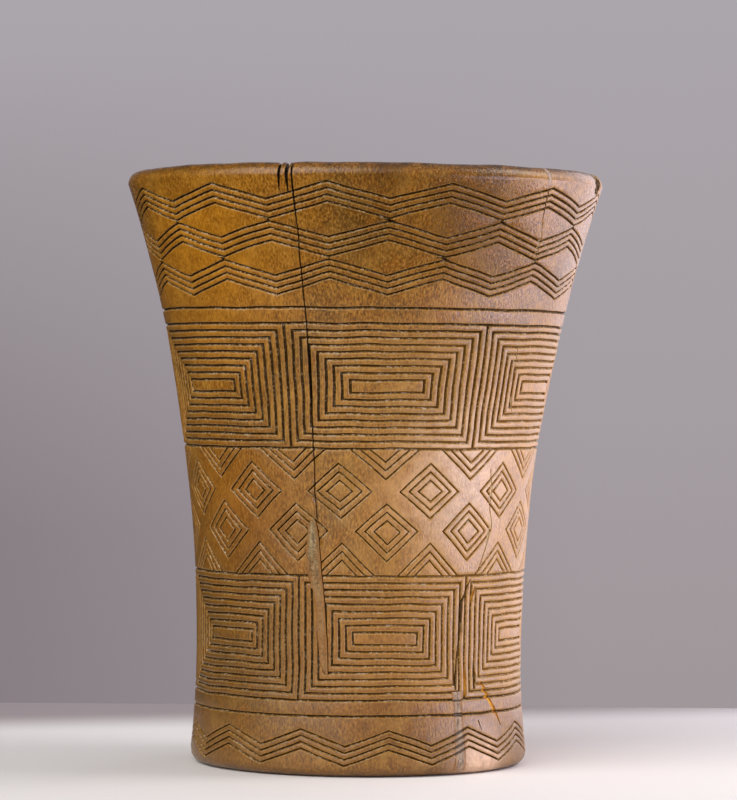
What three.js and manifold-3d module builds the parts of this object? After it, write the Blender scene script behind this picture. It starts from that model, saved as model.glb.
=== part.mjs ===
// A kero: a ceremonial drinking beaker, waisted and flared, hollowed from one block of hardwood.
// Carved rings border its bands of zigzags, nested rectangles and diamonds. Drying cracks have opened since,
// and putty fills them.
// Millimetres, +Z up. It stands on the XY plane with its front towards -Y.
import * as THREE from "three";
import { mergeVertices } from "three/addons/utils/BufferGeometryUtils.js";
import Module from "manifold-3d";

// Bands of the outside, from the ground up. The rim's band takes the rest of the height.
const FOOT_BAND = 17.9;
const RING_PAIR_GAP = 4.55;
const PANEL_BAND = 36.6;
const DIAMOND_BAND = 37.7;

// Outline
const HEIGHT = 180;
const FOOT_RADIUS = 48;
const FOOT_EDGE_RADIUS = 51.5;
const FOOT_EDGE_HEIGHT = 4;
const WAIST_RADIUS = 49.85;
const WAIST_HEIGHT = 35;
const LIP_RADIUS = 72.7;
const LIP_ROUNDING = 3.6;

// Hollow
const LIP_WALL = 6.7;
const LOW_WALL = 9;
const FLOOR_THICKNESS = 15;
const FLOOR_FILLET = 12;

// Carved lines, all V in section
const LINE_WIDTH = 1.2;
const LINE_DEPTH = 0.9;

// Zigzags: groups of lines round the rim and the foot, each group against the one above it
const ZIGZAG_PEAKS = 12;
const ZIGZAG_REACH = 2.4;
const ZIGZAG_LINES = 4;
const ZIGZAG_PITCH = 1.86;
const RIM_ZIGZAG_GROUPS = 3;
const RIM_ZIGZAG_DROP = 11.05;
const RIM_ZIGZAG_BELOW_TOP = 8.3;
const FOOT_ZIGZAG_BELOW_RING = 6.5;

// Panels of nested rectangles
const PANELS = 6;
const RECTANGLES = 2;

// Diamonds in two staggered rows: heights of their middles, and the carved line's share of a diamond's cell
const LOWER_DIAMOND_ABOVE_RING = 13.55;
const UPPER_DIAMOND_BELOW_RING = 12.65;
const DIAMOND_SHARE = 0.7;
const DIAMOND_GROUND = 2.7;

// The ornament drifts round the beaker from band to band: azimuths of its first column
const FOOT_AZIMUTH = 10.3;
const WAIST_AZIMUTH = 9;
const UPPER_PANEL_AZIMUTH = 7.85;
const RIM_AZIMUTH = 6.5;

// Front crack: it leans, so its two ends lie to the left and right of its azimuth. Putty closes its foot.
const FRONT_CRACK_AZIMUTH = -15.3;
const FRONT_CRACK_RIM_OFFSET = -2.8;
const FRONT_CRACK_FOOT_OFFSET = 2;
const FRONT_CRACK_RIM_WIDTH = 1;
const FRONT_CRACK_FOOT_WIDTH = 0.6;
const FRONT_FILL_ABOVE_RING = 16;
const FRONT_FILL_BELOW_RING = 28;
const FRONT_FILL_TOP_WIDTH = 4.6;
const FRONT_FILL_FOOT_WIDTH = 1.8;
const FRONT_FILL_DEPTH = 3.5;

// Rim split: a short crack, with a wedge of putty in its mouth
const RIM_SPLIT_AZIMUTH = 50;
const RIM_SPLIT_LENGTH = 27;
const RIM_SPLIT_MOUTH_WIDTH = 1;
const RIM_SPLIT_FOOT_WIDTH = 0.6;
const RIM_FILL_LENGTH = 6.5;
const RIM_FILL_MOUTH_WIDTH = 3.2;
const RIM_FILL_FOOT_WIDTH = 1.6;

// Foot crack: a strip of putty let into the foot band
const FOOT_FILL_AZIMUTH = 35.6;
const FOOT_FILL_START = 1.2;
const FOOT_FILL_LENGTH = 23.5;
const FOOT_FILL_WIDTH = 4.4;
const FOOT_FILL_DEPTH = 3;

// Each fill lies this far from the wood round it
const SEAT_GAP = 0.3;

// Facets
const SIDES = 48;
const INSIDE_STEP = 30;
const OUTSIDE_STEP = 9;
const ARC_STEPS = 3;
const FOOT_ROUND_END = 2.4;
const MERGE_DISTANCE = 1e-4;
const OVERSHOOT = 5;

// Finishes
const WOOD = { color: 0xa5642d, roughness: 0.5, metalness: 0 };
const DARK_PUTTY = { color: 0x7d6a55, roughness: 0.85, metalness: 0 };
const PALE_PUTTY = { color: 0xcfa67a, roughness: 0.85, metalness: 0 };

// Heights that follow from the bands
const footRing = FOOT_BAND;
const lowerPanelFoot = footRing + RING_PAIR_GAP;
const diamondFoot = lowerPanelFoot + PANEL_BAND;
const upperPanelFoot = diamondFoot + DIAMOND_BAND;
const upperPanelTop = upperPanelFoot + PANEL_BAND;
const rimRing = upperPanelTop + RING_PAIR_GAP;
const lipHeight = HEIGHT - LIP_ROUNDING;
const column = 360 / SIDES;
const panelDegrees = 360 / PANELS;
const panelColumns = SIDES / PANELS;
const zigzagDegrees = 360 / ZIGZAG_PEAKS;
const millimetresPerDegree = THREE.MathUtils.degToRad(WAIST_RADIUS);

const wasm = await Module();
wasm.setup();

// Outside radius: one parabola flares from the waist to the lip, another spreads to the foot's rounded edge.
function outerRadius(z) {
  if (z < FOOT_EDGE_HEIGHT) {
    const drop = (FOOT_EDGE_HEIGHT - z) / FOOT_EDGE_HEIGHT;
    return FOOT_RADIUS + (FOOT_EDGE_RADIUS - FOOT_RADIUS) * Math.sqrt(1 - drop ** 2);
  }
  if (z > WAIST_HEIGHT) {
    const rise = (z - WAIST_HEIGHT) / (lipHeight - WAIST_HEIGHT);
    return WAIST_RADIUS + (LIP_RADIUS - WAIST_RADIUS) * rise ** 2;
  }
  const fall = (WAIST_HEIGHT - z) / (WAIST_HEIGHT - FOOT_EDGE_HEIGHT);
  return WAIST_RADIUS + (FOOT_EDGE_RADIUS - WAIST_RADIUS) * fall ** 2;
}

// Inside radius: the wall thickens evenly from the lip to the floor.
function innerRadius(z) {
  const depth = (lipHeight - z) / (lipHeight - FLOOR_THICKNESS);
  return outerRadius(z) - LIP_WALL - (LOW_WALL - LIP_WALL) * depth;
}

// Points of a line: one for each of its steps, ends included
function steps(count, pointAt) {
  return Array.from({ length: count + 1 }, (_, step) => pointAt(step));
}

// Profile points between two heights, both ends included
function wallPoints(radiusAt, start, end, longest) {
  const count = Math.ceil(Math.abs(end - start) / longest);
  return steps(count, (step) => {
    const z = THREE.MathUtils.lerp(start, end, step / count);
    return new THREE.Vector2(radiusAt(z), z);
  });
}

// Profile points along part of an ellipse, in degrees from the outward direction
function arcPoints(centre, halfWidth, halfHeight, startDegrees, endDegrees, steps) {
  const start = THREE.MathUtils.degToRad(startDegrees);
  const end = THREE.MathUtils.degToRad(endDegrees);
  const arc = new THREE.EllipseCurve(centre.x, centre.y, halfWidth, halfHeight, start, end, end < start);
  return arc.getPoints(steps);
}

// The turned form as profile points: foot, then outside wall, then lip, inside wall and filleted floor
function footProfile() {
  const heights = Array.from({ length: ARC_STEPS }, (_, step) => FOOT_ROUND_END * (step / ARC_STEPS) ** 2);
  return [new THREE.Vector2(0, 0), ...heights.map((z) => new THREE.Vector2(outerRadius(z), z))];
}

function hollowProfile() {
  const lipCentre = new THREE.Vector2(LIP_RADIUS - LIP_WALL / 2, lipHeight);
  const filletHeight = FLOOR_THICKNESS + FLOOR_FILLET;
  const filletCentre = new THREE.Vector2(innerRadius(filletHeight) - FLOOR_FILLET, filletHeight);
  return [
    ...arcPoints(lipCentre, LIP_WALL / 2, LIP_ROUNDING, 0, 180, 2 * ARC_STEPS),
    ...wallPoints(innerRadius, lipHeight, filletHeight, INSIDE_STEP).slice(1, -1),
    ...arcPoints(filletCentre, FLOOR_FILLET, FLOOR_FILLET, 0, -90, ARC_STEPS),
    new THREE.Vector2(0, FLOOR_THICKNESS),
  ];
}

// The beaker before it was carved
function plainSolid() {
  const wall = wallPoints(outerRadius, FOOT_ROUND_END, lipHeight, OUTSIDE_STEP).slice(0, -1);
  const profile = [...footProfile(), ...wall, ...hollowProfile()];
  return toSolid(new THREE.LatheGeometry(profile, SIDES).rotateX(Math.PI / 2));
}

// How far the ornament has drifted round at a height
function drift(z) {
  const { mapLinear, clamp } = THREE.MathUtils;
  const between = (low, high, start, end) => mapLinear(clamp(z, low, high), low, high, start, end);
  if (z < lowerPanelFoot) return between(footRing, lowerPanelFoot, FOOT_AZIMUTH, WAIST_AZIMUTH);
  if (z < upperPanelFoot) return between(diamondFoot, upperPanelFoot, WAIST_AZIMUTH, UPPER_PANEL_AZIMUTH);
  return between(upperPanelTop, rimRing, UPPER_PANEL_AZIMUTH, RIM_AZIMUTH);
}

// A point at an azimuth, radius and height
function around(azimuth, radius, z) {
  const turn = THREE.MathUtils.degToRad(azimuth);
  return new THREE.Vector3(radius * Math.sin(turn), -radius * Math.cos(turn), z);
}

// A point of the carved wall, in degrees from the ornament's first column, at a depth under the surface
function wallPoint(degrees, z, depth) {
  return around(degrees + drift(z), outerRadius(z) - depth, z);
}

// Triangles between neighbouring lines that have the same number of points
function skin(lines) {
  const corners = [];
  for (let line = 1; line < lines.length; line += 1) {
    const [low, high] = [lines[line - 1], lines[line]];
    for (let step = 1; step < low.length; step += 1) {
      corners.push(low[step - 1], low[step], high[step], low[step - 1], high[step], high[step - 1]);
    }
  }
  return corners;
}

// A line all the way round at one height, with a swing up and down in a zigzag
function roundLine(z, depth, swing = 0, peak = 0) {
  return steps(SIDES, (step) => {
    const phase = THREE.MathUtils.euclideanModulo((step * column - peak) / zigzagDegrees + 0.5, 1) - 0.5;
    return wallPoint(step * column, z + swing * (1 - 4 * Math.abs(phase)), depth);
  });
}

// Lines of the turned form from a profile
function turnedLines(profile) {
  return profile.map(({ x, y }) => steps(SIDES, (step) => around(step * column + drift(y), x, y)));
}

// Edge of a ring, plain or notched where the upright lines between panels run into it
function plainEdge(z) {
  return roundLine(z, 0);
}

function notchedEdge(z) {
  return steps(SIDES, (step) => {
    const isUpright = step % panelColumns === panelColumns / 2;
    return wallPoint(step * column, z, isUpright ? LINE_DEPTH : 0);
  });
}

// A ring: its lower edge, its bottom and its upper edge
function ringLines(z, lowEdge, highEdge) {
  return [lowEdge(z - LINE_WIDTH / 2), roundLine(z, LINE_DEPTH), highEdge(z + LINE_WIDTH / 2)];
}

// A group of zigzag lines under the height of its top one, with a sharp ridge between each two
function zigzagLines(top, swing, peak) {
  const low = top - (ZIGZAG_LINES - 1) * ZIGZAG_PITCH;
  const lines = [roundLine(low - LINE_WIDTH / 2, 0, swing, peak)];
  for (let number = 0; number < ZIGZAG_LINES; number += 1) {
    const z = low + number * ZIGZAG_PITCH;
    const rise = number < ZIGZAG_LINES - 1 ? ZIGZAG_PITCH / 2 : LINE_WIDTH / 2;
    lines.push(roundLine(z, LINE_DEPTH, swing, peak), roundLine(z + rise, 0, swing, peak));
  }
  return lines;
}

// Groups of zigzags round the rim, from the lowest up
function rimLines() {
  const groups = [];
  for (let group = RIM_ZIGZAG_GROUPS - 1; group >= 0; group -= 1) {
    const swing = group % 2 ? -ZIGZAG_REACH : ZIGZAG_REACH;
    const top = HEIGHT - RIM_ZIGZAG_BELOW_TOP - group * RIM_ZIGZAG_DROP;
    groups.push(...zigzagLines(top, swing, zigzagDegrees / 2));
  }
  return groups;
}

// A level line across a panel at an inset from the panel's sides. Its ends may lie deeper than the rest.
function levelLine(middle, inset, z, depth, endDepth = depth) {
  const half = panelDegrees / 2 - inset / millimetresPerDegree;
  return steps(panelColumns, (step) => {
    const isEnd = step % panelColumns === 0;
    return wallPoint(middle + half * ((2 * step) / panelColumns - 1), z, isEnd ? endDepth : depth);
  });
}

// A closed rectangle in a panel at an inset from all its edges
function rectangle(middle, low, high, inset, depth, sideDepth = depth) {
  const foot = levelLine(middle, inset, low + inset, depth, sideDepth);
  const top = levelLine(middle, inset, high - inset, depth, sideDepth);
  return [...foot, ...top.reverse(), foot[0]];
}

// A band of panels: an upright line between each two, and rectangles that shrink by even steps
function panelSkins(bandFoot) {
  const low = bandFoot + LINE_WIDTH / 2;
  const high = bandFoot + PANEL_BAND - LINE_WIDTH / 2;
  const pitch = PANEL_BAND / (2 * RECTANGLES + 2);
  const innermost = pitch * RECTANGLES + LINE_WIDTH / 2;
  const skins = [];
  for (let middle = 0; middle < 360; middle += panelDegrees) {
    const upright = rectangle(middle, low, high, 0, 0, LINE_DEPTH);
    const lines = [upright, rectangle(middle, low, high, LINE_WIDTH / 2, 0)];
    for (let number = 1; number <= RECTANGLES; number += 1) {
      lines.push(rectangle(middle, low, high, number * pitch - LINE_WIDTH / 2, 0));
      lines.push(rectangle(middle, low, high, number * pitch, LINE_DEPTH));
      lines.push(rectangle(middle, low, high, number * pitch + LINE_WIDTH / 2, 0));
    }
    const field = [low + innermost, high - innermost].map((z) => levelLine(middle, innermost, z, 0));
    skins.push(...skin(lines), ...skin(field));
  }
  return skins;
}

// A closed line at a share of a diamond's cell, which reaches half a period to each side, and up and down
function diamond(middle, z, up, down, share, depth) {
  const side = (share * zigzagDegrees) / 2;
  return steps(8, (step) => {
    const across = Math.abs(step / 2 - 2) - 1;
    const rise = (1 - Math.abs(across)) * (step < 4 ? -down : up);
    return wallPoint(middle - across * side, z + rise * share, depth);
  });
}

// One diamond's cell: the wood round the carved line, the line, and the field in it
function diamondSkin(middle, z, up, down) {
  const half = (LINE_WIDTH * (1 - DIAMOND_SHARE)) / 2 / DIAMOND_GROUND;
  const cell = (share, depth) => diamond(middle, z, up, down, share, depth);
  return skin([
    cell(1, 0),
    cell(DIAMOND_SHARE + half, 0),
    cell(DIAMOND_SHARE, LINE_DEPTH),
    cell(DIAMOND_SHARE - half, 0),
    cell(0, 0),
  ]);
}

// The plain half cell between a ring and two diamonds, with its point at a height
function halfCell(middle, ring, tip) {
  const base = steps(4, (step) => wallPoint(middle + (step / 2 - 1) * (zigzagDegrees / 2), ring, 0));
  const sides = steps(4, (step) => {
    const share = 1 - Math.abs(step / 2 - 1);
    return wallPoint(middle + (step / 2 - 1) * (zigzagDegrees / 2), THREE.MathUtils.lerp(ring, tip, share), 0);
  });
  return skin(tip > ring ? [base, sides] : [sides, base]);
}

// The band of diamonds
function diamondSkins() {
  const low = diamondFoot + LINE_WIDTH / 2;
  const high = upperPanelFoot - LINE_WIDTH / 2;
  const lowerRow = diamondFoot + LOWER_DIAMOND_ABOVE_RING;
  const upperRow = upperPanelFoot - UPPER_DIAMOND_BELOW_RING;
  const skins = [];
  for (let middle = 0; middle < 360; middle += zigzagDegrees) {
    const between = middle + zigzagDegrees / 2;
    skins.push(...diamondSkin(middle, lowerRow, upperRow - lowerRow, lowerRow - low));
    skins.push(...diamondSkin(between, upperRow, high - upperRow, upperRow - lowerRow));
    skins.push(...halfCell(between, low, lowerRow), ...halfCell(middle, high, upperRow));
  }
  return skins;
}

// The carved beaker, before it cracked
function carvedSolid() {
  const footZigzags = zigzagLines(footRing - FOOT_ZIGZAG_BELOW_RING, ZIGZAG_REACH, 0);
  const footLines = [...turnedLines(footProfile()), ...footZigzags];
  const lowerPanelRing = ringLines(lowerPanelFoot, plainEdge, notchedEdge);
  const upperPanelRing = ringLines(upperPanelTop, notchedEdge, plainEdge);
  const hollowLines = turnedLines(hollowProfile());
  const points = [
    ...skin([...footLines, ...ringLines(footRing, plainEdge, plainEdge), ...lowerPanelRing]),
    ...panelSkins(lowerPanelFoot),
    ...skin(ringLines(diamondFoot, notchedEdge, plainEdge)),
    ...diamondSkins(),
    ...skin(ringLines(upperPanelFoot, plainEdge, notchedEdge)),
    ...panelSkins(upperPanelFoot),
    ...skin([...upperPanelRing, ...ringLines(rimRing, plainEdge, plainEdge), ...rimLines(), ...hollowLines]),
  ];
  return toSolid(new THREE.BufferGeometry().setFromPoints(points));
}

// A tapered prism that reaches through the wall at an azimuth, from a radius outwards. Each end of the strip
// has its height, its width and its offset across the wall, and grow widens the strip all round.
function wallStrip(azimuth, foot, top, startRadius, grow = 0) {
  const footHalf = foot.width / 2 + grow;
  const topHalf = top.width / 2 + grow;
  const outline = new THREE.Shape();
  outline.moveTo(foot.offset - footHalf, foot.height - grow);
  outline.lineTo(foot.offset + footHalf, foot.height - grow);
  outline.lineTo(top.offset + topHalf, top.height + grow);
  outline.lineTo(top.offset - topHalf, top.height + grow);
  const depth = LIP_RADIUS + OVERSHOOT - startRadius;
  const strip = new THREE.ExtrudeGeometry(outline, { depth, bevelEnabled: false });
  strip.translate(0, 0, startRadius - grow);
  return toSolid(strip.rotateX(Math.PI / 2).rotateZ(THREE.MathUtils.degToRad(azimuth)));
}

// Where the front crack lies across the wall at a height
function frontCrackOffset(z) {
  const fall = (HEIGHT - z) / (HEIGHT - diamondFoot);
  return THREE.MathUtils.lerp(FRONT_CRACK_RIM_OFFSET, FRONT_CRACK_FOOT_OFFSET, fall);
}

// The long crack, open from the rim down to its putty
function frontCrack() {
  const end = diamondFoot + FRONT_FILL_ABOVE_RING;
  const foot = { height: end, width: FRONT_CRACK_FOOT_WIDTH, offset: frontCrackOffset(end) };
  const rim = HEIGHT + OVERSHOOT;
  const top = { height: rim, width: FRONT_CRACK_RIM_WIDTH, offset: frontCrackOffset(rim) };
  return wallStrip(FRONT_CRACK_AZIMUTH, foot, top, 0);
}

// Putty along the left edge of the front crack
function frontFill(grow) {
  const low = diamondFoot - FRONT_FILL_BELOW_RING;
  const high = diamondFoot + FRONT_FILL_ABOVE_RING;
  const lowOffset = frontCrackOffset(low) + (FRONT_CRACK_FOOT_WIDTH - FRONT_FILL_FOOT_WIDTH) / 2;
  const highOffset = frontCrackOffset(high) + (FRONT_CRACK_FOOT_WIDTH - FRONT_FILL_TOP_WIDTH) / 2;
  const foot = { height: low, width: FRONT_FILL_FOOT_WIDTH, offset: lowOffset };
  const top = { height: high, width: FRONT_FILL_TOP_WIDTH, offset: highOffset };
  return wallStrip(FRONT_CRACK_AZIMUTH, foot, top, outerRadius(diamondFoot) - FRONT_FILL_DEPTH, grow);
}

// The short crack at the right of the rim
function rimSplit() {
  const foot = { height: HEIGHT - RIM_SPLIT_LENGTH, width: RIM_SPLIT_FOOT_WIDTH, offset: 0 };
  const top = { height: HEIGHT + OVERSHOOT, width: RIM_SPLIT_MOUTH_WIDTH, offset: 0 };
  return wallStrip(RIM_SPLIT_AZIMUTH, foot, top, 0);
}

// Putty wedged through the wall in the mouth of the rim split
function rimFill(grow) {
  const foot = { height: HEIGHT - RIM_FILL_LENGTH, width: RIM_FILL_FOOT_WIDTH, offset: 0 };
  const top = { height: HEIGHT + OVERSHOOT, width: RIM_FILL_MOUTH_WIDTH, offset: 0 };
  return wallStrip(RIM_SPLIT_AZIMUTH, foot, top, 0, grow);
}

// Putty strip let into the foot
function footFill(grow) {
  const foot = { height: FOOT_FILL_START, width: FOOT_FILL_WIDTH, offset: 0 };
  const top = { height: FOOT_FILL_START + FOOT_FILL_LENGTH, width: FOOT_FILL_WIDTH, offset: 0 };
  return wallStrip(FOOT_FILL_AZIMUTH, foot, top, outerRadius(footRing) - FOOT_FILL_DEPTH, grow);
}

// A closed geometry as a solid, without the flat triangles that lie on the axis of a turned form
function toSolid(geometry) {
  geometry.deleteAttribute("normal");
  geometry.deleteAttribute("uv");
  const merged = mergeVertices(geometry, MERGE_DISTANCE);
  const corners = merged.index.array;
  const triVerts = [];
  for (let first = 0; first < corners.length; first += 3) {
    const triangle = corners.slice(first, first + 3);
    if (new Set(triangle).size === 3) triVerts.push(...triangle);
  }
  const vertProperties = merged.attributes.position.array;
  return new wasm.Manifold(new wasm.Mesh({ numProp: 3, vertProperties, triVerts: Uint32Array.from(triVerts) }));
}

// A solid as a named mesh
function toMesh(name, solid, finish) {
  const { vertProperties, triVerts } = solid.getMesh();
  const geometry = new THREE.BufferGeometry();
  geometry.setAttribute("position", new THREE.BufferAttribute(vertProperties, 3));
  geometry.setIndex(new THREE.BufferAttribute(triVerts, 1));
  const mesh = new THREE.Mesh(geometry, new THREE.MeshStandardMaterial(finish));
  mesh.name = name;
  return mesh;
}

const plainBeaker = plainSolid();
const cuts = [frontCrack(), rimSplit(), frontFill(SEAT_GAP), rimFill(SEAT_GAP), footFill(SEAT_GAP)];
const crackedBeaker = cuts.reduce((solid, cut) => solid.subtract(cut), carvedSolid());

const kero = new THREE.Group();
kero.add(
  toMesh("beaker_body", crackedBeaker, WOOD),
  toMesh("front_crack_fill", plainBeaker.intersect(frontFill(0)), DARK_PUTTY),
  toMesh("rim_split_fill", plainBeaker.intersect(rimFill(0)), PALE_PUTTY),
  toMesh("foot_crack_fill", plainBeaker.intersect(footFill(0)), PALE_PUTTY),
);

export default kero;
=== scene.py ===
"""Dresses a kero: a waisted drinking beaker of carved hardwood, with its cracks and their putty.

Shapes are worked out in millimetres, with +Z up and the front towards -Y, and end in metres.
An azimuth is in degrees round the beaker, from the front towards +X.
"""

import logging
import math
from dataclasses import astuple, dataclass
from enum import Enum
from functools import partial
from typing import Any

import bmesh
import bpy
import numpy as np
from bmesh.types import BMEdge, BMesh, BMFace, BMVert
from bpy.types import Material, Node, NodeSocket, NodeTree, Object
from mathutils import Matrix, Vector, noise


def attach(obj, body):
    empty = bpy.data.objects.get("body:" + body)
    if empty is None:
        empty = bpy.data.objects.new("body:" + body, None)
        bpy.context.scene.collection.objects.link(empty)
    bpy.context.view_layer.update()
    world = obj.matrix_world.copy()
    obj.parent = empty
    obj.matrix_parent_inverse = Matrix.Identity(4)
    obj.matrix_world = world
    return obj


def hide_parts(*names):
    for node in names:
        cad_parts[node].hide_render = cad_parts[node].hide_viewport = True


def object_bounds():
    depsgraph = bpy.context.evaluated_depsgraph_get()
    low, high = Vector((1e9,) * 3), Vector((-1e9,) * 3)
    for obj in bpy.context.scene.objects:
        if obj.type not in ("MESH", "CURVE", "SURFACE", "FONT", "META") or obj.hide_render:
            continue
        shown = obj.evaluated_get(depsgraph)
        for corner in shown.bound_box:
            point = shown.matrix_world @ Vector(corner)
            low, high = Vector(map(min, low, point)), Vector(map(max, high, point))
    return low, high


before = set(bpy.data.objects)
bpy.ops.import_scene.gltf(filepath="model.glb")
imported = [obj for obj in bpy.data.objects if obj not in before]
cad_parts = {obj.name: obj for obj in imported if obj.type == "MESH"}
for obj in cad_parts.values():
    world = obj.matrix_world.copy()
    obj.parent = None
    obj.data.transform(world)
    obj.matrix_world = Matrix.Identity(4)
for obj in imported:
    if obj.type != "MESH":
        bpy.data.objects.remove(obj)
CAD_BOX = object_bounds()
LOG = logging.getLogger("kero")

# Metres in a millimetre
MM = 0.001

# The ornament repeats six times round the beaker, and its edges have a point at each column
SECTORS = 6
SECTOR = 360 / SECTORS
COLUMNS = 24
COLUMN = SECTOR / COLUMNS

# Width of a degree on the flat sheet, at about the waist's radius
FLAT_DEGREE = math.radians(50)

# Rings of a flat disc, as shares of its radius
DISC_RINGS = (0.75, 0.5, 0.25)

# Pieces of the section: the plain wall under the lip, the lip, the floor's fillet and the foot's edge
RISE_STEPS = 2
LIP_STEPS = 14
FILLET_STEPS = 8
FOOT_STEPS = 4

# Points nearer than this are one point
WELD = 0.02

# Layers that the mesh carries for the finish, all on its points
DEPTH = "depth"
HOLLOW = "hollow"
FRESH = "fresh"
CHALK = "chalk"
SIDE = "side"

# Seed of the hand's wander, so that each run carves the same beaker
HAND_SEED = 7

# Edges that bend more than this stay sharp
SHARP_ANGLE = math.radians(75)

# Sockets of a colour Mix node
FACTOR, FIRST, SECOND, MIXED = 0, 6, 7, 2


def zigzag(degrees: float, period: float) -> float:
    """Gives the height of a zigzag, from -1 to 1, with a peak at 0 degrees."""
    return 1 - 4 * abs((degrees / period + 0.5) % 1 - 0.5)


def arc(centre: tuple[float, float], half_width: float, half_height: float,
        start: float, end: float, steps: int) -> list[tuple[float, float]]:
    """Works out points along part of an ellipse in the beaker's section.

    Args:
        centre: Radius and height of its middle.
        half_width: Half its width.
        half_height: Half its height.
        start: Where it starts, in degrees from the outward direction.
        end: Where it ends.
        steps: How many pieces it has.

    Returns:
        Radius and height of each point, both ends included.
    """
    angles = np.radians(np.linspace(start, end, steps + 1))
    return [(centre[0] + half_width * math.cos(a), centre[1] + half_height * math.sin(a)) for a in angles]


def around(azimuth: float, radius: float, z: float) -> Vector:
    """Gives the point at an azimuth, radius and height."""
    turn = math.radians(azimuth)
    return Vector((radius * math.sin(turn), -radius * math.cos(turn), z))


def outward(point: Vector) -> Vector:
    """Gives the level direction from the axis to a point."""
    return Vector((point.x, point.y, 0)).normalized()


def azimuth_of(point: Vector) -> float:
    """Gives the azimuth of a point in degrees."""
    return math.degrees(math.atan2(point.x, -point.y))


@dataclass(frozen=True)
class Outline:
    """Section of the beaker, on the same curves as its solid."""

    height: float
    lip_radius: float
    lip_rounding: float = 3.6
    lip_wall: float = 6.7
    waist_radius: float = 49.85
    waist_height: float = 35.0
    foot_radius: float = 48.0
    foot_edge_radius: float = 51.5
    foot_edge_height: float = 4.0
    low_wall: float = 9.0
    floor_thickness: float = 15.0
    floor_fillet: float = 12.0

    @property
    def lip_height(self) -> float:
        """Gives the height at which the lip starts to round over."""
        return self.height - self.lip_rounding

    @property
    def lip_middle(self) -> float:
        """Gives the radius of the lip's crest."""
        return self.lip_radius - self.lip_wall / 2

    def outer(self, z: float) -> float:
        """Gives the outside radius at a height."""
        if z > self.lip_height:
            rise = min((z - self.lip_height) / self.lip_rounding, 1)
            return self.lip_middle + self.lip_wall / 2 * math.sqrt(1 - rise ** 2)
        if z > self.waist_height:
            rise = (z - self.waist_height) / (self.lip_height - self.waist_height)
            return self.waist_radius + (self.lip_radius - self.waist_radius) * rise ** 2
        if z > self.foot_edge_height:
            fall = (self.waist_height - z) / (self.waist_height - self.foot_edge_height)
            return self.waist_radius + (self.foot_edge_radius - self.waist_radius) * fall ** 2
        fall = min((self.foot_edge_height - z) / self.foot_edge_height, 1)
        return self.foot_radius + (self.foot_edge_radius - self.foot_radius) * math.sqrt(1 - fall ** 2)

    def inner(self, z: float) -> float:
        """Gives the inside radius at a height below the lip."""
        sunk = (self.lip_height - z) / (self.lip_height - self.floor_thickness)
        return self.outer(z) - self.lip_wall - (self.low_wall - self.lip_wall) * sunk

    def heart(self, point: Vector) -> Vector:
        """Gives the middle of the wall behind a point of its surface."""
        z = min(point.z, self.lip_height - self.lip_rounding / 2)
        return around(azimuth_of(point), (self.outer(z) + self.inner(z)) / 2, z)

    def lip_and_hollow(self, start: float, step: float = 7.0) -> list[tuple[float, float]]:
        """Works out the section from the carved wall over the lip to the middle of the floor.

        Args:
            start: Height at which the carved wall ends.
            step: Height between points of the inside wall.

        Returns:
            Radius and height of each point after the start.
        """
        fillet_top = self.floor_thickness + self.floor_fillet
        fillet_middle = self.inner(fillet_top) - self.floor_fillet
        steps = math.ceil((self.lip_height - fillet_top) / step)
        inside = [(self.inner(z), z) for z in np.linspace(self.lip_height, fillet_top, steps + 1)[1:-1]]
        lip = arc((self.lip_middle, self.lip_height), self.lip_wall / 2, self.lip_rounding, 0, 180, LIP_STEPS)
        fillet = arc((fillet_middle, fillet_top), self.floor_fillet, self.floor_fillet, 0, -90, FILLET_STEPS)
        floor = [(fillet_middle * share, self.floor_thickness) for share in DISC_RINGS]
        rise = [(self.outer(z), z) for z in np.linspace(start, self.lip_height, RISE_STEPS + 1)[1:-1]]
        return rise + lip + inside + fillet + floor

    def under_foot(self, start: float) -> list[tuple[float, float]]:
        """Works out the section from the carved wall round the foot's edge to the middle of its flat."""
        edge = [(self.outer(z), z) for z in np.linspace(start, 0, FOOT_STEPS + 1)[1:]]
        return edge + [(self.foot_radius * share, 0.0) for share in DISC_RINGS]


@dataclass(frozen=True)
class Hand:
    """What a carver's hand and long use do to a regular form."""

    wander: float = 0.32
    wander_length: float = 9.0
    bow: float = 0.35
    bow_length: float = 45.0
    depth_change: float = 0.45
    depth_length: float = 4.0
    flattest: float = 0.45
    steady_below: float = 6.0
    lean: float = 0.75
    lean_from: float = 88.0
    lean_to: float = 132.0

    def move(self, point: Vector) -> Vector:
        """Moves a point as an unsteady tool and a warped block would, and leaves the foot flat."""
        drift = noise.noise_vector(point / self.wander_length) * self.wander
        drift.z *= min(max(point.z, 0) / self.steady_below, 1)
        bow = noise.noise(point / self.bow_length) * self.bow
        away = outward(point)
        drift -= away * drift.dot(away)
        leaning = np.interp(point.z, (self.lean_from, self.lean_to), (0, self.lean))
        return point + drift + away * bow + Vector((float(leaning), 0, 0))

    def depth(self, point: Vector, depth: float) -> float:
        """Changes the depth of a carved line along its length."""
        change = 1 + self.depth_change * noise.noise(point / self.depth_length)
        return depth * max(change, self.flattest)


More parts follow.
